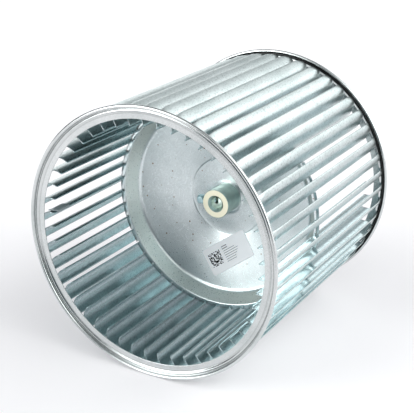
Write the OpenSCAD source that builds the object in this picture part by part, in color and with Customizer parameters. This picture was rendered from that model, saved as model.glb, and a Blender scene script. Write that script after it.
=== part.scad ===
// Double-inlet forward-curved blower wheel: two end rings, a cage of blades, a dished
// centre plate with its hub, a square-head set screw, a balance clip and a rating label.
// The wheel spins about the Y axis, the origin is the middle of the wheel, and +Z is up.
// The set screw side of the wheel, called the front, faces -Y.

/* [Wheel] */
// Outside diameter over the rolled edges of the end rings
wheel_d = 270; // [262:1:280]
// Overall width, face to face of the two end rings
wheel_w = 266.7; // [200:0.1:300]

/* [Blades] */
// Number of blades round the cage
blade_count = 48; // [40:1:52]
// Radius of the blades' inner edges
blade_inner_r = 112.8; // [111:0.1:114]
// Radius of the blades' outer edges between the end rings
blade_outer_r = 132.6; // [131:0.1:133]
// How far the outer edge leads the inner edge round the wheel, degrees
blade_lead = 6.85; // [5:0.05:8]
// Radius of each blade's circular section
blade_curve_r = 17.1; // [15:0.1:20]
// Thickness of the blade sheet
blade_t = 0.6; // [0.4:0.05:0.8]
// Angle of the first blade's inner edge, degrees
blade_phase = 2.75; // [0:0.05:7]
// Depth from the wheel's face at which the blades' inner corners are cut square
blade_end_depth = 8.15; // [6:0.05:12]
// Radius beyond which the blades run on to the end rings
blade_foot_r = 126; // [123:0.5:127]
// Outer radius of the blades where they meet the end rings
blade_tip_end_r = 130.4; // [129:0.1:131]
// Length over which the outer edges draw in to that radius
blade_taper_len = 13; // [8:0.5:20]

/* [End rings] */
// Thickness of the ring sheet
ring_t = 0.8; // [0.6:0.05:1]
// Inside radius of the ring flange, the edge of the air inlet
ring_inner_r = 121.2; // [118:0.1:124]
// Depth of the flange's outer face below the rolled edge
flange_depth = 4; // [3:0.1:5]
// Diameter of the rolled edge
curl_d = 3.7; // [3.2:0.1:4]
// Radius where the flange rises into its stiffening bead
bead_from_r = 127.2; // [126.8:0.1:127.4]
// Radius of the bead's crest, before its crest is rounded
bead_r = 128.9; // [128.6:0.1:129.2]
// Depth of the bead's crest, before its crest is rounded
bead_depth = 2.7; // [2.4:0.1:3]
// How far round the edge is rolled, degrees
curl_turn = 225; // [180:15:240]

/* [Centre plate] */
// Thickness of the plate sheet
plate_t = 1.2; // [1:0.1:1.5]
// Height of the plate's rim above the middle of the wheel, towards the front
rim_z = 3.8; // [0:0.1:8]
// Outer radius of the rim, which reaches between the blades
rim_outer_r = 116.1; // [115:0.1:117]
// Radius where the rim turns down into the dish
rim_inner_r = 110.9; // [109:0.1:111]
// Radius of the foot of the dish's side wall
dish_foot_r = 101.4; // [98:0.1:104]
// Height of the foot of the side wall
dish_foot_z = -10.4; // [-14:0.1:-8]
// Outer radius of the shallow recess round the hub
recess_r = 42.8; // [40:0.1:46]
// Height of the plate at the edge of the recess
recess_top_z = -22.3; // [-24:0.1:-21]
// Drop of the small step at the edge of the recess
recess_step = 0.6; // [0.3:0.1:0.8]
// Radius of the flat floor of the recess
floor_r = 37.3; // [34:0.1:39]
// Height of the recess floor
floor_z = -23.3; // [-26:0.1:-23.1]
// Radius of the raised seat on which the hub stands
seat_r = 17.5; // [17:0.1:19]
// Height of the hub seat above the floor
seat_h = 0.5; // [0.3:0.1:1]
// Width of each slot that the rim leaves for a blade
rim_slot_w = 1.3; // [1.2:0.1:2]

/* [Hub] */
// Bore for the motor shaft
bore_d = 12.7; // [12.7:0.1:16]
// Outside diameter of the hub barrel
hub_d = 30.2; // [28:0.1:32]
// Height of the hub's front face
hub_face_z = 2.3; // [0:0.1:6]
// Diameter of the bevelled mouth of the bore
mouth_d = 18; // [15:0.1:19]
// Diameter of the spigot that passes through the plate
spigot_d = 24; // [20:0.5:27]
// Diameter of the swaged collar behind the plate
collar_d = 28; // [26:0.5:32]
// Thickness of the swaged collar
collar_t = 2.2; // [1.5:0.1:4]

/* [Set screw] */
// Direction in which the screw points out of the hub, degrees from +X towards +Z
screw_angle = 186.5; // [180:0.5:200]
// Depth of the screw's axis below the hub's front face
screw_depth = 12.7; // [8:0.1:16]
// Outside diameter of the screw thread
screw_d = 7.94; // [7.94:0.01:7.94]
// Root diameter of the screw thread
screw_root_d = 6.5; // [6.3:0.05:6.8]
// Thread pitch
screw_pitch = 1.411; // [1.411:0.001:1.411]
// Radius of the screw's tip from the wheel's axis when it is slack
screw_tip_r = 7.55; // [7:0.05:8]
// Radius of the underside of the head
head_base_r = 20.4; // [18:0.1:22]
// Height of the square head
head_h = 7; // [5:0.1:8]
// Width of the square head across its flats
head_af = 7.94; // [7.9:0.01:8.2]
// Gap all round between the screw thread and its hole
screw_gap = 0.05; // [0.03:0.01:0.1]

/* [Balance clip] */
// Number of the blade that carries the clip
clip_blade = 24; // [1:1:40]
// Depth of the clip's front end below the wheel's face
clip_depth = 14; // [12:0.5:40]
// Length of the clip along the blade
clip_len = 19; // [10:0.5:30]
// Thickness of the clip's spring steel
clip_t = 0.9; // [0.6:0.1:1.2]
// Angle of blade section that each leg covers, degrees
clip_leg_angle = 24; // [15:1:30]

/* [Label] */
// Length of the label
label_len = 56; // [40:1:60]
// Width of the label
label_wid = 30; // [20:1:32]
// Thickness of the label
label_t = 0.25; // [0.2:0.05:0.4]
// Radius of the label's corners
label_corner_r = 2.4; // [1:0.1:4]
// Distance of the label's middle from the wheel's axis
label_r = 61.4; // [60:0.1:66]
// Direction of the label's middle, degrees from +X towards +Z
label_dir = 274.2; // [0:0.1:360]
// Slope of the label's long side, degrees from +X towards +Z
label_tilt = 36.4; // [0:0.1:90]

/* [Hidden] */
$fn = 96;

wheel_r = wheel_d / 2;
half_w = wheel_w / 2;
blade_pitch = 360 / blade_count;
galvanised = [0.80, 0.84, 0.83];

// Blade section: an arc from the inner edge at angle 0 to the outer edge at blade_lead.
// Its centre lies on the leading side of the chord.
blade_start = [blade_inner_r, 0];
blade_end = blade_outer_r * [cos(blade_lead), sin(blade_lead)];
blade_chord = norm(blade_end - blade_start);
chord_angle = atan2(blade_end.y - blade_start.y, blade_end.x - blade_start.x);
arc_rise = sqrt(pow(blade_curve_r, 2) - pow(blade_chord / 2, 2));
arc_centre = (blade_start + blade_end) / 2 + arc_rise * [-sin(chord_angle), cos(chord_angle)];
arc_half = asin(blade_chord / 2 / blade_curve_r);
arc_from = chord_angle - 90 - arc_half;
arc_to = chord_angle - 90 + arc_half;

// Ring section, as radius and depth below the wheel's face
curl_r = curl_d / 2;
curl_centre_r = wheel_r - curl_r;
curl_inner_r = curl_centre_r - curl_r;
ring_back_depth = flange_depth + ring_t;

// Hub
bore_chamfer = (mouth_d - bore_d) / 2;
seat_z = floor_z + seat_h;
plate_back_z = seat_z - plate_t;
hub_back_z = plate_back_z - collar_t;
back_chamfer = 0.5;
face_chamfer = 0.4;
screw_z = hub_face_z - screw_depth;
screw_hole_d = screw_d + 2 * screw_gap;
dish_slope = (dish_foot_z - recess_top_z) / (dish_foot_r - recess_r);
bend_steps = 5;

function blade_name(i) = str("blade_", i < 10 ? "0" : "", i);

// Stands the wheel's axis, drawn along z with the front up, along Y with the front at -Y
module on_wheel_axis() {
    rotate([90, 0, 0]) children();
}

function unit(v) = v / norm(v);
function left_of(v) = [-v.y, v.x];
function turn(v, a) = [v.x * cos(a) - v.y * sin(a), v.x * sin(a) + v.y * cos(a)];

// Points of a round bend of radius r at corner p between points a and b
function bend(a, p, b, r) =
    let (u = unit(a - p), v = unit(b - p),
         half = acos(u * v) / 2,
         centre = p + unit(u + v) * r / sin(half),
         start = p + u * r / tan(half) - centre,
         side = (u.x * v.y - u.y * v.x) > 0 ? 1 : -1,
         sweep = side * (2 * half - 180))
    [for (i = [0 : bend_steps]) centre + turn(start, sweep * i / bend_steps)];

// Direction of a path at its point i
function heading(path, i) =
    let (last = len(path) - 1)
    unit(unit(path[min(i + 1, last)] - path[min(i, last - 1)]) + unit(path[max(i, 1)] - path[max(i - 1, 0)]));

// Closed outline of a sheet whose front surface follows a path, with its body to the left
function sheet(path, t) =
    let (last = len(path) - 1)
    concat(path, [for (i = [last : -1 : 0])
        let (h = heading(path, i), s = unit(path[max(i, 1)] - path[max(i - 1, 0)]))
        path[i] + left_of(h) * t / max(h * s, 0.5)]);

// Front surface of an end ring's sheet as radius and depth: flange, bead, groove and rolled edge
ring_path = [
    [ring_inner_r, flange_depth],
    each bend([ring_inner_r, flange_depth], [bead_from_r, flange_depth], [bead_r, bead_depth], 1),
    each bend([bead_from_r, flange_depth], [bead_r, bead_depth], [curl_inner_r, flange_depth], 1),
    each bend([bead_r, bead_depth], [curl_inner_r, flange_depth], [curl_inner_r, curl_r], 0.6),
    for (a = [180 : 15 : 180 + curl_turn]) [curl_centre_r, curl_r] + curl_r * [cos(a), sin(a)]
];

module end_ring() {
    translate([0, 0, half_w]) rotate_extrude($fn = 180) mirror([0, 1]) polygon(sheet(ring_path, ring_t));
}

module front_end_ring() {
    color([0.88, 0.90, 0.90]) on_wheel_axis() end_ring();
}

module rear_end_ring() {
    color([0.88, 0.90, 0.90]) on_wheel_axis() mirror([0, 0, 1]) end_ring();
}

// Wedge seen from the blade section's centre, between two angles less than 180 degrees apart
module arc_wedge(from, to) {
    reach = 3 * blade_curve_r;
    polygon([[0, 0], reach * [cos(from), sin(from)],
        reach * [cos((from + to) / 2), sin((from + to) / 2)], reach * [cos(to), sin(to)]]);
}

// Band that follows the blade section between two radii and two angles
module arc_band(r_in, r_out, from, to) {
    translate(arc_centre) intersection() {
        difference() {
            circle(r = r_out);
            circle(r = r_in);
        }
        arc_wedge(from, to);
    }
}

// What the blade's front end loses: its inner corner, and a taper along its outer edge
module blade_end_cut() {
    translate([0, 0, half_w - blade_end_depth]) cylinder(r = blade_foot_r, h = blade_end_depth + 1);
    translate([0, 0, half_w]) rotate_extrude()
        polygon([[blade_tip_end_r, -ring_back_depth], [blade_outer_r + 1, -ring_back_depth],
            [blade_outer_r + 1, -ring_back_depth - blade_taper_len],
            [blade_outer_r, -ring_back_depth - blade_taper_len]]);
}

module blade(i) {
    color(galvanised) on_wheel_axis() rotate([0, 0, blade_phase + (i - 1) * blade_pitch]) difference() {
        translate([0, 0, ring_back_depth - half_w]) linear_extrude(wheel_w - 2 * ring_back_depth)
            arc_band(blade_curve_r - blade_t / 2, blade_curve_r + blade_t / 2, arc_from, arc_to);
        blade_end_cut();
        mirror([0, 0, 1]) blade_end_cut();
    }
}

// Front surface of the plate from the hub hole out to the rim
plate_path = [
    [spigot_d / 2, seat_z],
    [seat_r - 2 * seat_h, seat_z],
    [seat_r, floor_z],
    [floor_r, floor_z],
    [recess_r - 1.5 * recess_step, recess_top_z - recess_step],
    [recess_r, recess_top_z],
    each bend([recess_r, recess_top_z], [dish_foot_r, dish_foot_z], [rim_inner_r, rim_z], 7),
    each bend([dish_foot_r, dish_foot_z], [rim_inner_r, rim_z], [rim_outer_r, rim_z], 1.4),
    [rim_outer_r, rim_z]
];

module center_plate() {
    color([0.78, 0.81, 0.83]) on_wheel_axis() difference() {
        rotate_extrude($fn = 180) mirror([0, 1]) polygon(sheet([for (p = plate_path) [p.x, -p.y]], plate_t));
        for (i = [0 : blade_count - 1]) rotate([0, 0, blade_phase + i * blade_pitch])
            translate([blade_inner_r, -rim_slot_w / 2, rim_z - 2 * plate_t])
                cube([rim_outer_r - blade_inner_r + 1, rim_slot_w, 3 * plate_t]);
    }
}

// Places its children, drawn along z, along the set screw: z is then the distance from the axis
module along_screw() {
    translate([0, 0, screw_z]) rotate([0, 0, screw_angle]) rotate([0, 90, 0]) children();
}

module hub() {
    color([0.93, 0.91, 0.78]) on_wheel_axis() difference() {
        rotate_extrude() polygon([
            [bore_d / 2, hub_back_z + back_chamfer], [bore_d / 2 + back_chamfer, hub_back_z],
            [collar_d / 2 - 0.8, hub_back_z], [collar_d / 2, hub_back_z + 0.8], [collar_d / 2, plate_back_z],
            [spigot_d / 2, plate_back_z], [spigot_d / 2, seat_z], [hub_d / 2, seat_z],
            [hub_d / 2, hub_face_z - face_chamfer], [hub_d / 2 - face_chamfer, hub_face_z], [mouth_d / 2, hub_face_z],
            [bore_d / 2, hub_face_z - bore_chamfer]
        ]);
        along_screw() cylinder(d = screw_hole_d, h = hub_d);
    }
}

// Threaded shank as rings of thread, with a cup point and a square head
module set_screw() {
    thread_from = screw_tip_r + 1.2;
    turns = floor((head_base_r - thread_from - 1) / screw_pitch);
    color([0.55, 0.68, 0.70]) on_wheel_axis() along_screw() {
        rotate_extrude() polygon([
            [0, screw_tip_r + 1], [screw_root_d / 2 - 1.2, screw_tip_r], [screw_root_d / 2 - 0.6, screw_tip_r],
            [screw_root_d / 2, thread_from],
            for (i = [0 : turns - 1]) each [
                [screw_d / 2, thread_from + screw_pitch * (i + 0.45)],
                [screw_d / 2, thread_from + screw_pitch * (i + 0.55)],
                [screw_root_d / 2, thread_from + screw_pitch * (i + 1)]
            ],
            [screw_root_d / 2, head_base_r], [0, head_base_r]
        ]);
        intersection() {
            translate([-head_af / 2, -head_af / 2, head_base_r]) cube([head_af, head_af, head_h]);
            translate([0, 0, head_base_r]) cylinder(d = 1.32 * head_af, h = head_h);
            translate([0, 0, head_base_r]) cylinder(r1 = head_h + 0.48 * head_af, r2 = 0.48 * head_af + 0.5, h = head_h);
        }
    }
}

// Spring clip bent round a blade's inner edge, with a leg on each side of the blade
module balance_clip() {
    gap = 0.03;
    leg_from = blade_curve_r + blade_t / 2 + gap;
    leg_in = blade_curve_r - blade_t / 2 - gap;
    color([0.30, 0.36, 0.38]) on_wheel_axis()
        rotate([0, 0, blade_phase + (clip_blade - 1) * blade_pitch])
        translate([0, 0, half_w - clip_depth - clip_len]) linear_extrude(clip_len) {
            arc_band(leg_from, leg_from + clip_t, arc_from, arc_from + clip_leg_angle);
            arc_band(leg_in - clip_t, leg_in, arc_from, arc_from + clip_leg_angle);
            translate(arc_centre + blade_curve_r * [cos(arc_from), sin(arc_from)]) rotate(arc_from)
                difference() {
                    circle(r = blade_t / 2 + gap + clip_t);
                    circle(r = blade_t / 2 + gap);
                    translate([-5, 0.1]) square(10);
                }
        }
}

// Label laid on the plate's sloping face
module label() {
    function dish_z(r) = recess_top_z + (r - recess_r) * dish_slope;
    inner = label_r - label_len / 2;
    outer = label_r + label_len / 2 + 4;
    color([0.80, 0.82, 0.84]) on_wheel_axis() intersection() {
        rotate_extrude($fn = 180) polygon([
            [inner, dish_z(inner)], [outer, dish_z(outer)],
            [outer, dish_z(outer) + label_t], [inner, dish_z(inner) + label_t]
        ]);
        translate([label_r * cos(label_dir), label_r * sin(label_dir), -half_w / 2]) rotate(label_tilt)
            linear_extrude(half_w) union() {
                square([label_len - 2 * label_corner_r, label_wid], center = true);
                square([label_len, label_wid - 2 * label_corner_r], center = true);
                for (x = [-1, 1], y = [-1, 1])
                    translate([x * (label_len / 2 - label_corner_r), y * (label_wid / 2 - label_corner_r)])
                        circle(r = label_corner_r);
            }
    }
}

front_end_ring();
rear_end_ring();
center_plate();
hub();
set_screw();
balance_clip();
label();
for (i = [1 : blade_count]) blade(i);
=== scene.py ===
"""Looks of the double-inlet blower wheel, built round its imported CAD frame.

Everything is in metres in the CAD frame: the wheel's axis is Y, its front faces -Y and +Z is up.
Lengths written in millimetres are multiplied by MM.
"""
import math
import random

import bmesh
import bpy
import numpy as np
from mathutils import Matrix, Vector


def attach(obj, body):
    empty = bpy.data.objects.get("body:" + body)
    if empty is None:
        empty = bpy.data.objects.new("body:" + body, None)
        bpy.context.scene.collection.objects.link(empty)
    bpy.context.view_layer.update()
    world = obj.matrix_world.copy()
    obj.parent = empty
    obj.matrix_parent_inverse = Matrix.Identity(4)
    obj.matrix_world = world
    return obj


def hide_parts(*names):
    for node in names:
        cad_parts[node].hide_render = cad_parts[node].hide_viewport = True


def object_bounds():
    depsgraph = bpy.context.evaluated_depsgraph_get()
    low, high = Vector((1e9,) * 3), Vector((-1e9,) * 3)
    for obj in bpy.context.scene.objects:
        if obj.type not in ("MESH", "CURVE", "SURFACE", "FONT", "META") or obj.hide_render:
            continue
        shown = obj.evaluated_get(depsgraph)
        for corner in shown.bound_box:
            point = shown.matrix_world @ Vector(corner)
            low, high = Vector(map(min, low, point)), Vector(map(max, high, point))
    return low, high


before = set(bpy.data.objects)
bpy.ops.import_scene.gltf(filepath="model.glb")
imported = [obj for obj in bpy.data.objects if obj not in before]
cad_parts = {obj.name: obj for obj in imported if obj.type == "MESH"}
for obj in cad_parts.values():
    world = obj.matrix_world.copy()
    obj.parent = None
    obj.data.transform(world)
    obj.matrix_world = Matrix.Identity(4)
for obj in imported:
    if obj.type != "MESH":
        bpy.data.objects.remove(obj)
cad_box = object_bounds()

MM = 0.001
WHEEL_R = cad_box[1].x
HALF_W = cad_box[1].y
FLOOR_Z = cad_box[0].z

# Blades; the end stations are shares of the blade's length, close together near its ends
BLADES = 48
PITCH = math.radians(360 / BLADES)
BLADE_PHASE = math.radians(2.75)
BLADE_LEAD = math.radians(6.85)
BLADE_INNER_R = 112.8 * MM
BLADE_OUTER_R = 132.6 * MM
BLADE_CURVE_R = 17.1 * MM
BLADE_T = 0.6 * MM
BLADE_END_DEPTH = 8.15 * MM
BLADE_CORNER_R = 0.8 * MM
BLADE_FOOT_R = 126 * MM
BLADE_FOOT_STEP = 0.8 * MM
BLADE_TIP_END_R = 130.3 * MM
BLADE_TAPER_LEN = 13 * MM
BLADE_TAPER_BLEND = 0.5 * MM
BLADE_CLEARANCE = 0.05 * MM
BLADE_COLUMNS = 22
END_STATIONS = [0, 0.004, 0.01, 0.018, 0.028, 0.04, 0.055, 0.075, 0.1, 0.15, 0.22, 0.3, 0.4]

# Small differences from blade to blade: spreads in degrees, the least and greatest size of the waves in mm,
# and the radians of wave along a blade
TURN_SPREAD = 0.10
LEAN_SPREAD = 0.175
WAVE_SIZE = (0.05, 0.18)
WAVE_RUN = 9

# End rings; a band is (radius in mm, brightness) of painted shade across the ring's sheet
RING_T = 0.8 * MM
RING_INNER_R = 121.2 * MM
RING_STEPS = 360
FLANGE_DEPTH = 4.0 * MM
RING_BACK = FLANGE_DEPTH + RING_T
CURL_R = 1.85 * MM
CURL_TURN = 290
CURL_STEPS = 22
BEAD_FROM_R = 127.2 * MM
BEAD_CREST = (128.9 * MM, 2.7 * MM)
BEAD_BEND_R = 1 * MM
ROOT_BEND_R = 0.6 * MM
# Painted shade: the front bands darken the ring where its bead and groove fall in shade, and the back bands
# paint the shadowed gap behind the rolled edge near black
FRONT_SHADE_BANDS = [
    (125.8, 1.0), (126.6, 0.74), (127.4, 1.0), (129.4, 1.0),
    (130.4, 0.56), (131.3, 0.95), (132.2, 1.0),
]
BACK_SHADE_BANDS = [(129.2, 1.0), (129.9, 0.05), (132.7, 0.05), (133.3, 1.0)]

# Centre plate, as (radius, height towards the front); the seat's second number is its height above the floor
PLATE_T = 1.2 * MM
RIM_Z = 3.8 * MM
RIM_OUTER_R = 116.1 * MM
RIM_INNER_R = 110.9 * MM
FOOT = (101.4 * MM, -10.4 * MM)
RECESS_EDGE = (42.8 * MM, -22.3 * MM)
RECESS_STEP = (41.9 * MM, -22.9 * MM)
FLOOR_EDGE = (37.3 * MM, -23.3 * MM)
SEAT = (17.5 * MM, 0.5 * MM)
SEAT_FLAT_R = 15.2 * MM
PLATE_HOLE_R = 12.05 * MM
SMALL_BEND_R = 0.5 * MM
RECESS_BEND_R = 1.3 * MM
FOOT_BEND_R = 7 * MM
RIM_BEND_R = 1.4 * MM
FLOOR_RADII = (20 * MM, 30 * MM)
CONE_STATIONS = (0.2, 0.4, 0.6, 0.78)
SLOT_HALF = math.radians(0.36)
STEPS_PER_PITCH = 9

# Hub and set screw; heights are measured from the wheel's axis
SCREW_ANGLE = math.radians(186.5)
SCREW_Z = -10.4 * MM
SCREW_R = 3.97 * MM
SCREW_ROOT_R = 3.25 * MM
SCREW_PITCH = 1.411 * MM
SCREW_TIP = 7.55 * MM
SCREW_CUP = 1 * MM
TIP_ROUND = 0.3 * MM
THREAD_FROM = SCREW_TIP + 1.2 * MM
THREAD_CREST = 1.25
THREAD_STEPS = 100
SCREW_COLUMNS = 72
HEAD_BASE = 20.4 * MM
HEAD_SEAM = 0.01 * MM
HEAD_H = 7 * MM
HEAD_HALF = 3.97 * MM
HEAD_CORNER = 5.24 * MM
HEAD_BEVEL = 1.3 * MM
HEAD_BLEND = 0.3 * MM
HEAD_CLEARANCE = 0.02 * MM
HEAD_STATIONS = [0, 0.2, 0.5, 0.9, 1.4, 3.5, 5.6, 6.1, 6.5, 6.8, 6.99]

# Balance clip; a share runs across the folded strip from the edge of one leg to the edge of the other
CLIP_BLADE = 24
CLIP_DEPTH = 14 * MM
CLIP_LEN = 19 * MM
CLIP_T = 0.9 * MM
CLIP_GAP = 0.03 * MM
CLIP_SECTION_POINTS = 60
CLIP_LEG_POINTS = 19
CLIP_FOLD_STEPS = 11
CLIP_STATIONS = [0, 0.06, 0.14, 0.24, 0.36, 0.5, 0.66, 0.8, 0.92, 1]
TONGUE_LEN = 8 * MM
TONGUE_MIDDLE = 0.2
TONGUE_POINT = 0.8
TONGUE_END = 0.42
TONGUE_BEND_AT = 5
TONGUE_SLOPE = 0.30
TONGUE_BEND_DEPTH = CLIP_DEPTH + 1 * MM

# Label and its print, laid out from the label's middle
LABEL_SIZE = (56 * MM, 30 * MM)
LABEL_CORNER = 2.4 * MM
LABEL_T = 0.25 * MM
LABEL_R = 61.4 * MM
LABEL_DIR = math.radians(274.2)
LABEL_TILT = math.radians(36.4)
LABEL_COLUMNS = 57
LABEL_ROWS = 31
BLOCK_AT = (-24.2 * MM, -6.8 * MM)
BLOCK_CELL = 1.07 * MM
BLOCK_CELLS = 14
BLOCK_FILL = 0.66
CELL_SHARE = 0.97
BARS_AT = (-5.5 * MM, -8.0 * MM)
BAR_STEP = 2.35 * MM
BARS = 8
THIN_BARS = 6
INK_LIFT = 0.03 * MM
INK_T = 0.05 * MM

# Surfaces: scales of the patterns, and colours
WHITE = (1.0, 1.0, 1.0)
BLACK = (0.0, 0.0, 0.0)
CLOUD_SCALE = 26.0
CLOUD_SHADE = (0.84, 0.86, 0.86)
STAIN_SCALE = 120.0
SCRATCH_SCALE = 2500.0
COAT_SCALE = 1500.0
RUST_SCALE = 150.0
RUST_REACH = (0.05, 0.14)
RUST_COLOUR = (0.24, 0.15, 0.08)
WALL_BLOOM = (0.84, 0.88, 0.84)
WALL_METAL = 0.8
FLOOR_COLOUR = (0.825, 0.805, 0.815)
FLOOR_GLOW = (0.98, 0.95, 1.0)
ACROSS_AXIS = (1, 0, 1)

# Camera that matches the photo's view
CAMERA_LENS = 87.96
CAMERA_SHIFT = (-0.0012, 0.0012)
CAMERA_AT = (0.4777, -0.8476, 0.3691)
CAMERA_RIGHT = (0.8664, 0.49936, 0.0)
CAMERA_FORWARD = (-0.46624, 0.80895, -0.35808)

# Studio: half the floor's width, and the edges of the dark card that stands in front of the wheel
FLOOR_HALF = 20.0
FLAG_LEFT = -0.40
FLAG_RIGHT = 1.0
FLAG_Y = -1.05
FLAG_TOP = 0.3

# Soft boxes in the studio walls: azimuth from straight in front towards the left, elevation and spread,
# all in degrees, and strength. BOX_CORE is the share of a box's spread that is at full strength, and
# BACKDROP is what the camera sees past the floor.
SOFT_BOXES = [
    (0, 90, 40, 0.2),
    (40, 38, 32, 2.5),
    (-35, 38, 32, 1.0),
    (-90, 38, 32, 3.0),
    (-140, 38, 32, 1.0),
    (180, 38, 32, 0.75),
    (38, 10, 20, 5.5),
    (-90, 10, 24, 2.0),
    (-140, 10, 26, 2.0),
    (140, 10, 22, 1.5),
]
BOX_TINT = (0.98, 1.01, 1.0)
BOX_CORE = 0.45
ROOM_GLOW = (0.0, 0.004, 0.018)
BACKDROP = (0.93, 0.94, 0.95, 1)

rng = random.Random(48)


# ---------------------------------------------------------------- node helpers
def node(tree, kind, **values):
    """A new node; each value goes to the input of that name, or else to the node's own setting."""
    made = tree.nodes.new(kind)
    for key, value in values.items():
        if key in made.inputs:
            made.inputs[key].default_value = value
        else:
            setattr(made, key, value)
    return made


def feed(tree, socket, value):
    """Link an input to a socket, or set it to a plain value."""
    if isinstance(value, bpy.types.NodeSocket):
        tree.links.new(value, socket)
    else:
        socket.default_value = value


def calc(tree, operation, first, second=0.0):
    """Result of a Math node."""
    made = node(tree, "ShaderNodeMath", operation=operation)
    feed(tree, made.inputs[0], first)
    feed(tree, made.inputs[1], second)
    return made.outputs["Value"]


def vector_calc(tree, operation, first, second=(0, 0, 0)):
    """Result of a Vector Math node: a number for a dot product or a length, and else a vector."""
    made = node(tree, "ShaderNodeVectorMath", operation=operation)
    feed(tree, made.inputs[0], first)
    feed(tree, made.inputs[1], second)
    return made.outputs["Value" if operation in ("DOT_PRODUCT", "LENGTH") else "Vector"]


def mix(tree, blend, factor, first, second):
    """Mix of two colours."""
    made = node(tree, "ShaderNodeMixRGB", blend_type=blend)
    feed(tree, made.inputs["Fac"], factor)
    feed(tree, made.inputs["Color1"], first)
    feed(tree, made.inputs["Color2"], second)
    return made.outputs["Color"]


def map_range(tree, source, before=(0.0, 1.0), after=(0.0, 1.0), kind="LINEAR"):
    """A number moved from one range to another, and held inside it."""
    made = node(tree, "ShaderNodeMapRange", interpolation_type=kind)
    feed(tree, made.inputs["Value"], source)
    made.inputs["From Min"].default_value, made.inputs["From Max"].default_value = before
    made.inputs["To Min"].default_value, made.inputs["To Max"].default_value = after
    return made.outputs["Result"]


def ramp(tree, source, stops):
    """Colour ramp through stops of (position, colour)."""
    made = node(tree, "ShaderNodeValToRGB")
    elements = made.color_ramp.elements
    for element, (position, colour) in zip(elements, (stops[0], stops[-1])):
        element.position = position
        element.color = (*colour, 1)
    for position, colour in stops[1:-1]:
        elements.new(position).color = (*colour, 1)
    tree.links.new(source, made.inputs["Fac"])
    return made.outputs["Color"]


def noise(tree, coords, scale, detail, roughness=0.5):
    """Grey noise in the object's own coordinates."""
    made = node(tree, "ShaderNodeTexNoise", Scale=scale, Detail=detail, Roughness=roughness)
    tree.links.new(coords, made.inputs["Vector"])
    return made.outputs["Fac"]


def along_axis(tree, vector):
    """The part of a vector that lies along the wheel's axis, Y."""
    made = node(tree, "ShaderNodeSeparateXYZ")
    tree.links.new(vector, made.inputs["Vector"])
    return made.outputs["Y"]


def radius_share(tree, coords, start, end):
    """Distance from the wheel's axis as a share of the way from one radius to another."""
    across = vector_calc(tree, "MULTIPLY", coords, ACROSS_AXIS)
    return map_range(tree, vector_calc(tree, "LENGTH", across), (start, end))


# ---------------------------------------------------------------- camera, floor and light
def add_camera():
    """Camera at the photo's viewing angle."""
    data = bpy.data.cameras.new("photo_view")
    data.sensor_width = 36
    data.lens = CAMERA_LENS
    data.clip_start = 0.01
    data.shift_x, data.shift_y = CAMERA_SHIFT
    cam = bpy.data.objects.new("photo_view", data)
    bpy.context.scene.collection.objects.link(cam)
    right = Vector(CAMERA_RIGHT).normalized()
    forward = Vector(CAMERA_FORWARD).normalized()
    up = right.cross(forward).normalized()
    turn = Matrix((right, up, -forward)).transposed()
    cam.matrix_world = Matrix.Translation(CAMERA_AT) @ turn.to_4x4()
    bpy.context.scene.camera = cam


def add_studio():
    """Soft boxes all round a dark room, with a pale backdrop where the room itself is seen."""
    bpy.context.scene.view_settings.view_transform = "Standard"
    world = bpy.data.worlds.new("studio")
    bpy.context.scene.world = world
    world.use_nodes = True
    tree = world.node_tree
    direction = node(tree, "ShaderNodeTexCoord").outputs["Generated"]
    light = ROOM_GLOW
    for azimuth, elevation, spread, strength in SOFT_BOXES:
        turn = math.radians(azimuth)
        rise = math.radians(elevation)
        towards = (-math.sin(turn) * math.cos(rise), -math.cos(turn) * math.cos(rise), math.sin(rise))
        facing = vector_calc(tree, "DOT_PRODUCT", direction, towards)
        edge, core = math.cos(math.radians(spread)), math.cos(math.radians(spread * BOX_CORE))
        shape = map_range(tree, facing, (edge, core), kind="SMOOTHSTEP")
        glow = vector_calc(tree, "MULTIPLY", [strength * part for part in BOX_TINT], shape)
        light = vector_calc(tree, "ADD", light, glow)
    seen = node(tree, "ShaderNodeLightPath").outputs["Is Camera Ray"]
    tree.links.new(mix(tree, "MIX", seen, light, BACKDROP), tree.nodes["Background"].inputs["Color"])


def flat_sheet(name, corners, material):
    """Sheet with four corners and no thickness."""
    mesh = bpy.data.meshes.new(name)
    mesh.from_pydata(corners, [], [(0, 1, 2, 3)])
    mesh.materials.append(material)
    sheet = bpy.data.objects.new(name, mesh)
    bpy.context.scene.collection.objects.link(sheet)
    return sheet


def add_floor(material):
    """Floor that the wheel lies on."""
    signs = ((-1, -1), (1, -1), (1, 1), (-1, 1))
    floor = flat_sheet("floor", [(FLOOR_HALF * x, FLOOR_HALF * y, FLOOR_Z) for x, y in signs], material)


def add_flag(material):
    """Dark card behind the camera, hidden from it, that shows in reflections and shades the floor."""
    edges = ((FLAG_LEFT, FLOOR_Z), (FLAG_RIGHT, FLOOR_Z), (FLAG_RIGHT, FLAG_TOP), (FLAG_LEFT, FLAG_TOP))
    flag = flat_sheet("dark_flag", [(x, FLAG_Y, z) for x, z in edges], material)
    flag.visible_camera = False


# ---------------------------------------------------------------- mesh helpers
def make_object(name, verts, faces, material, smooth_angle=40, closed=False):
    """Smooth-shaded object in the scene; closed fills its open ends and turns its faces outwards."""
    mesh = bpy.data.meshes.new(name)
    mesh.from_pydata([tuple(v) for v in verts], [], faces)
    if closed:
        shell = bmesh.new()
        shell.from_mesh(mesh)
        bmesh.ops.holes_fill(shell, edges=shell.edges)
        bmesh.ops.recalc_face_normals(shell, faces=shell.faces)
        shell.to_mesh(mesh)
        shell.free()
    mesh.update()
    mesh.materials.append(material)
    obj = bpy.data.objects.new(name, mesh)
    bpy.context.scene.collection.objects.link(obj)
    mesh.shade_smooth()
    mesh.set_sharp_from_angle(angle=math.radians(smooth_angle))
    return obj


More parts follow.
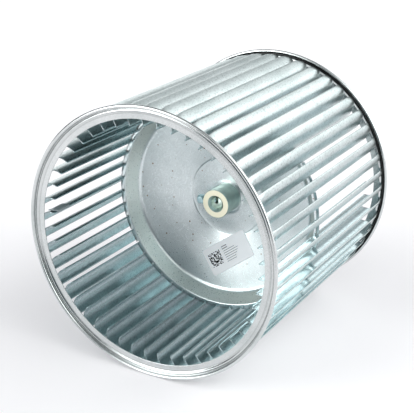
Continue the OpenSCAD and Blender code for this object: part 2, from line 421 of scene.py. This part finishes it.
def grid_faces(rows, cols, close_rows=False, close_cols=False, skip=None):
    """Quads of a grid of points stored row by row; skip says which ones are left out."""
    faces = []
    for i in range(rows if close_rows else rows - 1):
        for j in range(cols if close_cols else cols - 1):
            if skip and skip(i, j):
                continue
            next_i, next_j = (i + 1) % rows, (j + 1) % cols
            faces.append((i * cols + j, i * cols + next_j, next_i * cols + next_j, next_i * cols + j))
    return faces


def thicken(obj, thickness, offset=0.0):
    """Give a sheet its thickness, half to each side or all to one."""
    solid = obj.modifiers.new("sheet", "SOLIDIFY")
    solid.thickness = thickness
    solid.offset = offset
    solid.use_even_offset = True


def on_wheel(radius, angle, y):
    """Point at a radius and an angle round the wheel's axis."""
    return (radius * math.cos(angle), y, radius * math.sin(angle))


def arc(centre, radius, start, end, steps):
    """Points of an arc between two angles in degrees."""
    angles = np.radians(np.linspace(start, end, steps + 1))
    return [(centre[0] + radius * math.cos(a), centre[1] + radius * math.sin(a)) for a in angles]


def fillet(a, p, b, radius, steps):
    """Points of a round bend at corner p between points a and b."""
    a, p, b = (Vector(v) for v in (a, p, b))
    u, v = (a - p).normalized(), (b - p).normalized()
    half = u.angle(v) / 2
    centre = p + (u + v).normalized() * radius / math.sin(half)
    start = p + u * radius / math.tan(half) - centre
    end = p + v * radius / math.tan(half) - centre
    full = start.angle(end)
    turned = []
    for i in range(steps + 1):
        f = i / steps
        spoke = (start * math.sin((1 - f) * full) + end * math.sin(f * full)) / math.sin(full)
        turned.append(tuple(centre + spoke))
    return turned


def smooth_step(x):
    """Smooth rise from 0 to 1 between x = 0 and x = 1."""
    x = min(1.0, max(0.0, x))
    return x * x * (3 - 2 * x)


def soft_min(a, b, width):
    """The smaller of two lengths, rounded off where they meet."""
    gap = max(width - abs(a - b), 0.0) / width
    return min(a, b) - gap * gap * width / 4


# ---------------------------------------------------------------- materials
def new_material(name):
    """A node material, its node tree and its shader."""
    mat = bpy.data.materials.new(name)
    mat.use_nodes = True
    return mat, mat.node_tree, mat.node_tree.nodes["Principled BSDF"]


def add_bump(tree, shader, height, strength, distance):
    """Fine relief from a noise pattern."""
    relief = node(tree, "ShaderNodeBump", Strength=strength, Distance=distance)
    tree.links.new(height, relief.inputs["Height"])
    tree.links.new(relief.outputs["Normal"], shader.inputs["Normal"])


def recolour(mat, blend, factor, colour):
    """Mix a colour into the one that the material already has."""
    base = mat.node_tree.nodes["Principled BSDF"].inputs["Base Color"]
    clean = base.links[0].from_socket
    mat.node_tree.links.new(mix(mat.node_tree, blend, factor, clean, colour), base)


def rust_specks(tree, coords, clean, amount):
    """Small brown spots in a share of the cells of a pattern."""
    cells = node(tree, "ShaderNodeTexVoronoi", Scale=RUST_SCALE)
    tree.links.new(coords, cells.inputs["Vector"])
    chosen = node(tree, "ShaderNodeSeparateColor")
    tree.links.new(cells.outputs["Color"], chosen.inputs["Color"])
    reach = map_range(tree, chosen.outputs["Green"], after=RUST_REACH)
    near = calc(tree, "LESS_THAN", cells.outputs["Distance"], reach)
    few = calc(tree, "LESS_THAN", chosen.outputs["Red"], amount)
    spots = calc(tree, "MULTIPLY", near, few)
    return mix(tree, "MIX", spots, clean, (*RUST_COLOUR, 1))


def galvanised(name, base, speck, rough, bump, grain=900.0, rust=0.0):
    """Zinc-coated sheet: a fine pebbled grain, faint cloudy patches and, if asked, rust specks."""
    mat, tree, shader = new_material(name)
    coords = node(tree, "ShaderNodeTexCoord").outputs["Object"]
    fine = noise(tree, coords, grain, 3.0, 0.6)
    cloud = noise(tree, coords, CLOUD_SCALE, 4.0, 0.6)
    dark = [c * (1 - 0.45 * speck) for c in base]
    light = [min(1.0, c * 1.06) for c in base]
    grained = ramp(tree, fine, [(0.36, dark), (0.47, base), (0.66, light)])
    patches = ramp(tree, cloud, [(0.34, CLOUD_SHADE), (0.62, WHITE)])
    colour = mix(tree, "MULTIPLY", 1.0, grained, patches)
    if rust:
        colour = rust_specks(tree, coords, colour, rust)
    tree.links.new(colour, shader.inputs["Base Color"])
    shader.inputs["Metallic"].default_value = 1.0
    uneven = map_range(tree, fine, (0.3, 0.7), (rough[1], rough[0]))
    tree.links.new(uneven, shader.inputs["Roughness"])
    add_bump(tree, shader, fine, bump, 0.0004)
    return mat


def shade_band_stops(bands):
    """Ramp stops of the bands of painted shade on a ring."""
    width = WHEEL_R - RING_INNER_R
    return [((r * MM - RING_INNER_R) / width, (level, level, level)) for r, level in bands]


def add_ring_painted_shade(mat):
    """Painted shade: dark bands along the front's bead and groove, and a near-black painted shadow in the gap
    behind the rolled edge.
    """
    tree = mat.node_tree
    coords = node(tree, "ShaderNodeTexCoord")
    share = radius_share(tree, coords.outputs["Object"], RING_INNER_R, WHEEL_R)
    normal_y = along_axis(tree, coords.outputs["Normal"])
    place_y = along_axis(tree, coords.outputs["Object"])
    behind = calc(tree, "LESS_THAN", calc(tree, "MULTIPLY", normal_y, place_y), 0.0)
    front = ramp(tree, share, shade_band_stops(FRONT_SHADE_BANDS))
    back = ramp(tree, share, shade_band_stops(BACK_SHADE_BANDS))
    recolour(mat, "MULTIPLY", 1.0, mix(tree, "MIX", behind, front, back))


def add_wall_bloom(mat):
    """Dull greenish bloom on the drawn side wall of the plate's dish."""
    tree = mat.node_tree
    coords = node(tree, "ShaderNodeTexCoord").outputs["Object"]
    share = radius_share(tree, coords, FOOT[0], RIM_OUTER_R)
    wall = ramp(tree, share, [(0.0, BLACK), (0.12, WHITE), (0.58, WHITE), (0.68, BLACK)])
    recolour(mat, "MIX", wall, (*WALL_BLOOM, 1))
    metal = map_range(tree, wall, after=(1.0, WALL_METAL))
    tree.links.new(metal, tree.nodes["Principled BSDF"].inputs["Metallic"])


def soften_inside(mat, bump_share, rough_share, painted_reflection_tint):
    """Lower the bump and the roughness on the faces turned towards the wheel's axis, and give them a painted
    reflection: a bluish tint that stands for light bounced between the blades.
    """
    tree = mat.node_tree
    shader = tree.nodes["Principled BSDF"]
    coords = node(tree, "ShaderNodeTexCoord")
    radial = vector_calc(tree, "MULTIPLY", coords.outputs["Object"], ACROSS_AXIS)
    outward = vector_calc(tree, "DOT_PRODUCT", radial, coords.outputs["Normal"])

    def blend(inside, outside):
        return map_range(tree, outward, (-0.02, 0.02), (inside, outside))

    strength = shader.inputs["Normal"].links[0].from_node.inputs["Strength"]
    tree.links.new(blend(strength.default_value * bump_share, strength.default_value), strength)
    rough = shader.inputs["Roughness"]
    softer = calc(tree, "MULTIPLY", rough.links[0].from_socket, blend(rough_share, 1.0))
    tree.links.new(softer, rough)
    # Painted reflection: the faces turned towards the axis take a bluish tint for the light bounced between
    # the blades
    recolour(mat, "MULTIPLY", blend(1.0, 0.0), (*painted_reflection_tint, 1))


def turned_metal(name, base, rough=0.3, metal=1.0, painted_end_highlight=None):
    """Machined and plated steel with fine scratches; painted_end_highlight, if given, is a painted highlight
    laid over the faces across Y.
    """
    mat, tree, shader = new_material(name)
    coords = node(tree, "ShaderNodeTexCoord")
    fine = noise(tree, coords.outputs["Object"], SCRATCH_SCALE, 2.0)
    stain = noise(tree, coords.outputs["Object"], STAIN_SCALE, 3.0)
    colour = ramp(tree, stain, [(0.3, [c * 0.82 for c in base]), (0.7, base)])
    # Painted highlight: the faces across Y get a pale cream colour in place of the metal's own
    if painted_end_highlight:
        size = calc(tree, "ABSOLUTE", along_axis(tree, coords.outputs["Normal"]))
        colour = mix(tree, "MIX", calc(tree, "GREATER_THAN", size, 0.9), colour, (*painted_end_highlight, 1))
    tree.links.new(colour, shader.inputs["Base Color"])
    shader.inputs["Metallic"].default_value = metal
    uneven = map_range(tree, fine, after=(rough * 0.8, rough * 1.3))
    tree.links.new(uneven, shader.inputs["Roughness"])
    add_bump(tree, shader, fine, 0.08, 0.0002)
    return mat


def coated(name, base, rough=0.5, depth=0.05, lift=0.0):
    """Plain non-metal surface with a faint grain; lift is the strength of a painted glow that makes a white
    film brighter than its light.
    """
    mat, tree, shader = new_material(name)
    fine = noise(tree, node(tree, "ShaderNodeTexCoord").outputs["Object"], COAT_SCALE, 2.0)
    colour = ramp(tree, fine, [(0.3, [c * (1 - depth) for c in base]), (0.7, base)])
    tree.links.new(colour, shader.inputs["Base Color"])
    shader.inputs["Roughness"].default_value = rough
    # Painted light: the surface glows by lift though it is no lamp
    if lift:
        shader.inputs["Emission Color"].default_value = (*base, 1)
        shader.inputs["Emission Strength"].default_value = lift
    return mat


def pale_floor(name):
    """White floor surface that glows a little, so that it stays near white far from the lights."""
    mat, _, shader = new_material(name)
    shader.inputs["Base Color"].default_value = (*FLOOR_COLOUR, 1)
    shader.inputs["Roughness"].default_value = 0.8
    shader.inputs["Specular IOR Level"].default_value = 0.1
    shader.inputs["Emission Color"].default_value = (*FLOOR_GLOW, 1)
    shader.inputs["Emission Strength"].default_value = 0.19
    return mat


# ---------------------------------------------------------------- blades
def blade_section(count):
    """Centre line of a blade's section, its inner edge at angle 0, as an array of points."""
    inner = np.array([BLADE_INNER_R, 0.0])
    outer = BLADE_OUTER_R * np.array([math.cos(BLADE_LEAD), math.sin(BLADE_LEAD)])
    chord = outer - inner
    half = np.linalg.norm(chord) / 2
    left = np.array([-chord[1], chord[0]]) / (2 * half)
    centre = (inner + outer) / 2 + left * math.sqrt(BLADE_CURVE_R ** 2 - half ** 2)
    middle = math.atan2(chord[1], chord[0]) - math.pi / 2
    spread = math.asin(half / BLADE_CURVE_R)
    angles = np.linspace(middle - spread, middle + spread, count)
    return centre + BLADE_CURVE_R * np.stack([np.cos(angles), np.sin(angles)], axis=1)


def blade_end_depth(run, radius):
    """Depth of the blade's end below the wheel's face, at a distance along its section."""
    inner_part = BLADE_END_DEPTH
    if run < BLADE_CORNER_R:
        inner_part += BLADE_CORNER_R - math.sqrt(BLADE_CORNER_R ** 2 - (BLADE_CORNER_R - run) ** 2)
    foot = smooth_step((radius - BLADE_FOOT_R) / BLADE_FOOT_STEP)
    return inner_part + (RING_BACK - inner_part) * foot


def blade_verts(index, stations):
    """Middle surface of one blade, with small differences from blade to blade."""
    turn = BLADE_PHASE + (index - 1) * PITCH + math.radians(rng.gauss(0, TURN_SPREAD))
    lean = math.radians(rng.gauss(0, LEAN_SPREAD))
    wave_size = rng.uniform(*WAVE_SIZE) * MM
    wave_at = rng.uniform(0, math.tau)
    section = blade_section(BLADE_COLUMNS)
    runs = np.concatenate([[0], np.cumsum(np.linalg.norm(np.diff(section, axis=0), axis=1))])
    verts = []
    for f in stations:
        middle = math.sin(math.pi * f)
        for (x, z), run in zip(section, runs):
            radius, angle = math.hypot(x, z), math.atan2(z, x)
            depth = blade_end_depth(run, radius)
            y = (-HALF_W + depth) * (1 - f) + (HALF_W - depth) * f
            end_gap = HALF_W - abs(y) - RING_BACK
            if end_gap < BLADE_TAPER_LEN:
                limit = BLADE_TIP_END_R + (BLADE_OUTER_R - BLADE_TIP_END_R) * end_gap / BLADE_TAPER_LEN
                radius = soft_min(radius, limit, BLADE_TAPER_BLEND)
            inward = 1 - run / runs[-1]
            wave = wave_size * math.sin(wave_at + WAVE_RUN * f) * middle * inward
            angle += lean * middle * inward
            verts.append(on_wheel(radius + wave - BLADE_CLEARANCE, turn + angle, y))
    return verts


def add_blades(material):
    """All blades of the wheel."""
    stations = END_STATIONS + [0.5] + [1 - f for f in reversed(END_STATIONS)]
    faces = grid_faces(len(stations), BLADE_COLUMNS)
    for index in range(1, BLADES + 1):
        blade = make_object(f"formed_blade_{index:02d}", blade_verts(index, stations), faces, material)
        thicken(blade, BLADE_T)
        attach(blade, "wheel")
        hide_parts(f"blade_{index:02d}")


# ---------------------------------------------------------------- end rings
def ring_path():
    """Front of the ring's sheet as (radius, depth): flange, bead, groove and rolled edge."""
    centre = (WHEEL_R - CURL_R, CURL_R)
    edge, foot = (RING_INNER_R, FLANGE_DEPTH), (BEAD_FROM_R, FLANGE_DEPTH)
    root = (centre[0] - CURL_R, FLANGE_DEPTH)
    path = [(RING_INNER_R + step * MM, FLANGE_DEPTH) for step in (0, 0.3, 3)]
    path += fillet(edge, foot, BEAD_CREST, BEAD_BEND_R, 4)
    path += fillet(foot, BEAD_CREST, root, BEAD_BEND_R, 6)
    path += fillet(BEAD_CREST, root, (root[0], CURL_R), ROOT_BEND_R, 6)
    path += arc(centre, CURL_R, 180, 180 + CURL_TURN, CURL_STEPS)
    return path


def add_ring(name, facing, material):
    """End ring; facing is -1 for the front of the wheel and 1 for its back."""
    path = ring_path()
    verts = []
    for k in range(RING_STEPS):
        angle = math.tau * k / RING_STEPS
        for radius, depth in path:
            verts.append(on_wheel(radius, angle, facing * (HALF_W - depth)))
    faces = grid_faces(RING_STEPS, len(path), close_rows=True)
    ring = make_object(name + "_rolled", verts, faces, material, 60)
    thicken(ring, RING_T, offset=facing)
    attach(ring, "wheel")
    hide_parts(name)


# ---------------------------------------------------------------- centre plate
def plate_path():
    """Front surface of the plate from the hub outwards, as (radius, height towards the front)."""
    floor_z = FLOOR_EDGE[1]
    seat_r, seat_z = SEAT[0], floor_z + SEAT[1]
    seat_flat = (SEAT_FLAT_R, seat_z)
    rim = (RIM_INNER_R, RIM_Z)
    edge = (RIM_OUTER_R, RIM_Z)
    path = [(PLATE_HOLE_R, seat_z), seat_flat]
    path += fillet(seat_flat, (seat_r - 2 * SEAT[1], seat_z), (seat_r, floor_z), SMALL_BEND_R, 3)
    path += [(radius, floor_z) for radius in (seat_r, *FLOOR_RADII)] + [FLOOR_EDGE]
    path += fillet(FLOOR_EDGE, RECESS_STEP, RECESS_EDGE, SMALL_BEND_R, 3)
    path += fillet(RECESS_STEP, RECESS_EDGE, FOOT, RECESS_BEND_R, 3)
    path += [tuple(Vector(RECESS_EDGE).lerp(Vector(FOOT), f)) for f in CONE_STATIONS]
    path += fillet(RECESS_EDGE, FOOT, rim, FOOT_BEND_R, 8)
    path += fillet(FOOT, rim, edge, RIM_BEND_R, 6)
    path += [(BLADE_INNER_R, RIM_Z), edge]
    return path


def add_plate(material):
    """Centre plate with a slot in its rim for each blade."""
    path = plate_path()
    between = (PITCH - 2 * SLOT_HALF) / STEPS_PER_PITCH
    per_pitch = [-SLOT_HALF] + [SLOT_HALF + between * k for k in range(STEPS_PER_PITCH)]
    verts = []
    for blade in range(BLADES):
        for step in per_pitch:
            angle = BLADE_PHASE + blade * PITCH + step
            for radius, height in path:
                verts.append(on_wheel(radius, angle, -height))
    rows, cols = BLADES * len(per_pitch), len(path)

    def in_slot(i, j):
        return i % len(per_pitch) == 0 and j == cols - 2

    faces = grid_faces(rows, cols, close_rows=True, skip=in_slot)
    plate = make_object("pressed_center_plate", verts, faces, material, 50)
    thicken(plate, PLATE_T, offset=-1.0)
    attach(plate, "wheel")
    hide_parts("center_plate")


# ---------------------------------------------------------------- set screw
def screw_profile(height, turn):
    """Radius of the set screw at a distance from the wheel's axis and an angle round its own axis."""
    if height < HEAD_BASE:
        pitch_part = (height / SCREW_PITCH - turn / math.tau) % 1
        crest = max(0.0, 1 - 2 * abs(pitch_part - 0.5)) * THREAD_CREST
        run_in = max(0.0, (height - THREAD_FROM) / SCREW_PITCH)
        run_out = max(0.0, (HEAD_BASE - height) / SCREW_PITCH)
        return SCREW_ROOT_R + (SCREW_R - SCREW_ROOT_R) * min(crest, 1.0) * min(1.0, run_in, run_out)
    from_end = min(height - HEAD_BASE, HEAD_BASE + HEAD_H - height)
    flat = HEAD_HALF / max(abs(math.cos(turn)), abs(math.sin(turn)))
    corner = HEAD_CORNER - max(0.0, HEAD_BEVEL - from_end)
    return soft_min(flat, corner, HEAD_BLEND) - HEAD_CLEARANCE


def screw_rings():
    """Rings of points from the screw's cupped tip to its head, as (height, share of the profile's radius)."""
    rings = [(SCREW_TIP + SCREW_CUP, 0.001), (SCREW_TIP, 0.62), (SCREW_TIP, 0.8)]
    rings += [(SCREW_TIP + TIP_ROUND, 0.92)]
    shank = HEAD_BASE - HEAD_SEAM - THREAD_FROM
    rings += [(THREAD_FROM + shank * k / THREAD_STEPS, 1) for k in range(THREAD_STEPS + 1)]
    rings += [(HEAD_BASE + h * MM, 1) for h in HEAD_STATIONS]
    rings += [(HEAD_BASE + HEAD_H, share) for share in (0.9, 0.4, 0.001)]
    return rings


def add_set_screw(material):
    """Set screw with a helical thread and a bevelled square head."""
    direction = Vector((math.cos(SCREW_ANGLE), 0, math.sin(SCREW_ANGLE)))
    across = Vector((-math.sin(SCREW_ANGLE), 0, math.cos(SCREW_ANGLE)))
    highest = HEAD_BASE + HEAD_STATIONS[-1] * MM
    rings = screw_rings()
    verts = []
    for height, share in rings:
        for k in range(SCREW_COLUMNS):
            turn = math.tau * k / SCREW_COLUMNS
            radius = screw_profile(min(height, highest), turn) * share
            side = across * math.cos(turn) * radius + Vector((0, math.sin(turn) * radius - SCREW_Z, 0))
            verts.append(direction * height + side)
    faces = grid_faces(len(rings), SCREW_COLUMNS, close_cols=True)
    screw = make_object("square_head_set_screw", verts, faces, material, 38, closed=True)
    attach(screw, "set_screw")
    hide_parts("set_screw")


# ---------------------------------------------------------------- balance clip
def clip_front(share):
    """Depth of the clip's front end, which runs out to a tongue on the first leg."""
    tongue = max(0.0, 1 - abs(share - TONGUE_MIDDLE) / TONGUE_MIDDLE)
    return CLIP_DEPTH - TONGUE_LEN * tongue ** TONGUE_POINT


def clip_line():
    """Section of the folded strip round a blade's inner edge, and the way its tongue bends."""
    section = [Vector(p) for p in blade_section(CLIP_SECTION_POINTS)]
    gap = BLADE_T / 2 + CLIP_GAP + CLIP_T / 2
    run = [(section[i + 1] - section[i]).normalized() for i in range(CLIP_LEG_POINTS)]
    outer = [section[i] + Vector((run[i].y, -run[i].x)) * gap for i in reversed(range(CLIP_LEG_POINTS))]
    inner = [section[i] + Vector((-run[i].y, run[i].x)) * gap for i in range(CLIP_LEG_POINTS)]
    base = math.atan2(outer[-1].y - section[0].y, outer[-1].x - section[0].x)
    bends = base - np.linspace(0, math.pi, CLIP_FOLD_STEPS)[1:-1]
    fold = [section[0] + Vector((math.cos(bend), math.sin(bend))) * gap for bend in bends]
    return outer + fold + inner, Vector((run[TONGUE_BEND_AT].y, -run[TONGUE_BEND_AT].x))


def add_clip(material):
    """Strip folded round a blade's inner edge; its front tongue is bent away from the blade."""
    turn = BLADE_PHASE + (CLIP_BLADE - 1) * PITCH
    line, away = clip_line()
    verts = []
    for f in CLIP_STATIONS:
        for i, point in enumerate(line):
            share = i / (len(line) - 1)
            front = clip_front(share)
            depth = front + (CLIP_DEPTH + CLIP_LEN - front) * f
            lift = TONGUE_SLOPE * max(0.0, TONGUE_BEND_DEPTH - depth) if share < TONGUE_END else 0.0
            x, z = point + away * lift
            verts.append(on_wheel(math.hypot(x, z), turn + math.atan2(z, x), -HALF_W + depth))
    faces = grid_faces(len(CLIP_STATIONS), len(line))
    clip = make_object("folded_balance_clip", verts, faces, material, 60)
    thicken(clip, CLIP_T)
    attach(clip, "balance_clip")
    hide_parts("balance_clip")


# ---------------------------------------------------------------- label
def on_label(along, across, lift):
    """Point of the label's plane laid on the plate's cone, lift above the cone."""
    cos_t, sin_t = math.cos(LABEL_TILT), math.sin(LABEL_TILT)
    x = LABEL_R * math.cos(LABEL_DIR) + along * cos_t - across * sin_t
    z = LABEL_R * math.sin(LABEL_DIR) + along * sin_t + across * cos_t
    slope = (FOOT[1] - RECESS_EDGE[1]) / (FOOT[0] - RECESS_EDGE[0])
    height = RECESS_EDGE[1] + (math.hypot(x, z) - RECESS_EDGE[0]) * slope
    return (x, -height - lift, z)


def add_label(film):
    """Label with round corners, laid on the plate."""
    half_l, half_w = LABEL_SIZE[0] / 2, LABEL_SIZE[1] / 2
    verts = []
    for j in range(LABEL_ROWS):
        across = half_w * (2 * j / (LABEL_ROWS - 1) - 1)
        past = max(0.0, abs(across) - (half_w - LABEL_CORNER))
        reach = half_l - LABEL_CORNER + math.sqrt(max(0.0, LABEL_CORNER ** 2 - past ** 2))
        for i in range(LABEL_COLUMNS):
            verts.append(on_label(reach * (2 * i / (LABEL_COLUMNS - 1) - 1), across, LABEL_T))
    label = make_object("plain_label", verts, grid_faces(LABEL_ROWS, LABEL_COLUMNS), film)
    thicken(label, LABEL_T * 0.9, offset=-1.0)
    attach(label, "wheel")
    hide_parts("label")


def print_boxes(name, boxes, ink):
    """Flat printed boxes on the label, each as (along, across, length, width)."""
    verts, faces = [], []
    for along, across, length, width in boxes:
        steps = max(1, round(length / (2 * MM)))
        first = len(verts)
        for k in range(steps + 1):
            for w in (0, width):
                verts.append(on_label(along + length * k / steps, across + w, LABEL_T + INK_LIFT))
        for corner in range(first, first + 2 * steps, 2):
            faces.append((corner, corner + 2, corner + 3, corner + 1))
    printed = make_object(name, verts, faces, ink)
    thicken(printed, INK_T, offset=-1.0)
    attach(printed, "wheel")


def add_label_print(block_ink, bar_ink):
    """Meaningless decoration: a block of small squares and a column of plain bars."""
    block = []
    side = BLOCK_CELL * CELL_SHARE
    for row in range(BLOCK_CELLS):
        for col in range(BLOCK_CELLS):
            if rng.random() < BLOCK_FILL:
                block.append((BLOCK_AT[0] + col * BLOCK_CELL, BLOCK_AT[1] + row * BLOCK_CELL, side, side))
    bars = []
    for row in range(BARS):
        shortest, longest, width = (9, 21, 0.6) if row < THIN_BARS else (6, 9, 1.0)
        length = rng.uniform(shortest, longest) * MM
        bars.append((BARS_AT[0], BARS_AT[1] + row * BAR_STEP, length, width * MM))
    print_boxes("label_block", block, block_ink)
    print_boxes("label_bars", bars, bar_ink)


# ---------------------------------------------------------------- everything
ring_steel = galvanised("ring_zinc", (0.68, 0.70, 0.70), speck=0.1, rough=(0.18, 0.28), bump=0.06)
# Painted shade on the rings, along the bead and groove and in the gap behind the rolled edge
add_ring_painted_shade(ring_steel)
blade_steel = galvanised(
    "blade_zinc", (0.66, 0.72, 0.72), speck=0.55, rough=(0.26, 0.40), bump=0.5, grain=560.0,
)
# Inner blade faces: smoother, and tinted bluish by a painted reflection
soften_inside(blade_steel, bump_share=0.5, rough_share=0.65, painted_reflection_tint=(0.89, 0.99, 1.03))
plate_steel = galvanised(
    "plate_zinc", (0.78, 0.84, 0.85), speck=0.12, rough=(0.26, 0.34), bump=0.05, grain=700.0, rust=0.6,
)
add_wall_bloom(plate_steel)
# The hub's end faces carry a painted cream highlight
hub_steel = turned_metal("hub_zinc", (0.66, 0.78, 0.71), painted_end_highlight=(0.98, 0.95, 0.74))
screw_steel = turned_metal("screw_zinc", (0.62, 0.84, 0.88))
clip_steel = turned_metal("clip_spring_steel", (0.46, 0.52, 0.54), rough=0.36, metal=0.35)
# The label film glows a little: painted light
label_film = coated("label_film", (0.93, 0.95, 0.98), depth=0.02, lift=0.10)
ink_dark = coated("ink_dark", (0.012, 0.012, 0.015), rough=0.9)
ink_light = coated("ink_light", (0.30, 0.29, 0.29))
flag_cloth = coated("flag_cloth", (0.02, 0.045, 0.06), rough=0.9)

add_camera()
add_studio()
add_floor(pale_floor("floor_white"))
add_flag(flag_cloth)
add_blades(blade_steel)
add_ring("front_end_ring", -1, ring_steel)
add_ring("rear_end_ring", 1, ring_steel)
add_plate(plate_steel)
add_set_screw(screw_steel)
add_clip(clip_steel)
add_label(label_film)
add_label_print(ink_dark, ink_light)
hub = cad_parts["hub"]
hub.data.materials.clear()
hub.data.materials.append(hub_steel)
